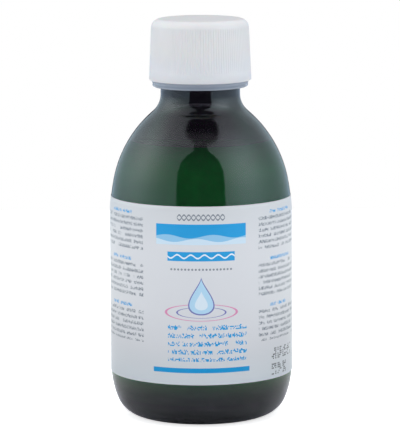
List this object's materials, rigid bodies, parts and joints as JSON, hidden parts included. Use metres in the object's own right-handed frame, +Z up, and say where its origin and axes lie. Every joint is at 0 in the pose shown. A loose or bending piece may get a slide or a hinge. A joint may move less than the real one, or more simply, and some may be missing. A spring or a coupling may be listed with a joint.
{
  "type": "mouthwash bottle",
  "caption": "Round liquid-filled bottle with a wrap label and a child-resistant push-and-turn screw cap over a tamper-evident band.",
  "frame": {"origin": "centre of the base, on the plane of the standing ring", "axes": "+Z up along the bottle's axis towards the cap, -Y towards the front of the label"},
  "size_m": [0.0578, 0.0578, 0.126],
  "materials": {
    "bottle_plastic": "clear tinted, glossy",
    "liquid": "clear dark green liquid",
    "label_film": "satin printed film",
    "white_plastic": "satin",
    "natural_plastic": "translucent, satin",
    "liner_foam": "fine closed foam"
  },
  "bodies": {
    "bottle": {"bottle": "bottle_plastic", "mouthwash": "liquid", "label": "label_film"},
    "band": {"tamper_band": "natural_plastic"},
    "liner": {"liner": "liner_foam"},
    "inner_cap": {"inner_cap": "natural_plastic"},
    "outer_shell": {"outer_shell": "white_plastic"}
  },
  "joints": [
    {"name": "band_turn", "type": "hinge", "parent": "bottle", "child": "band", "pos_m": [0, 0, 0.106], "axis": [0, 0, 1], "continuous": true},
    {"name": "cap_lift", "type": "slide", "parent": "bottle", "child": "liner", "axis": [0, 0, 1], "range_m": [0, 0.0223]},
    {"name": "cap_turn", "type": "hinge", "parent": "liner", "child": "inner_cap", "pos_m": [0, 0, 0.115], "axis": [0, 0, 1], "range_deg": [0, 2520]},
    {"name": "shell_push", "type": "slide", "parent": "inner_cap", "child": "outer_shell", "axis": [0, 0, -1], "range_m": [0, 0.0013], "stiffness_N_per_m": 4000}
  ],
  "couplings": [
    {"joint": "cap_lift", "follows": "cap_turn", "m_per_rad": 0.00050611}
  ]
}
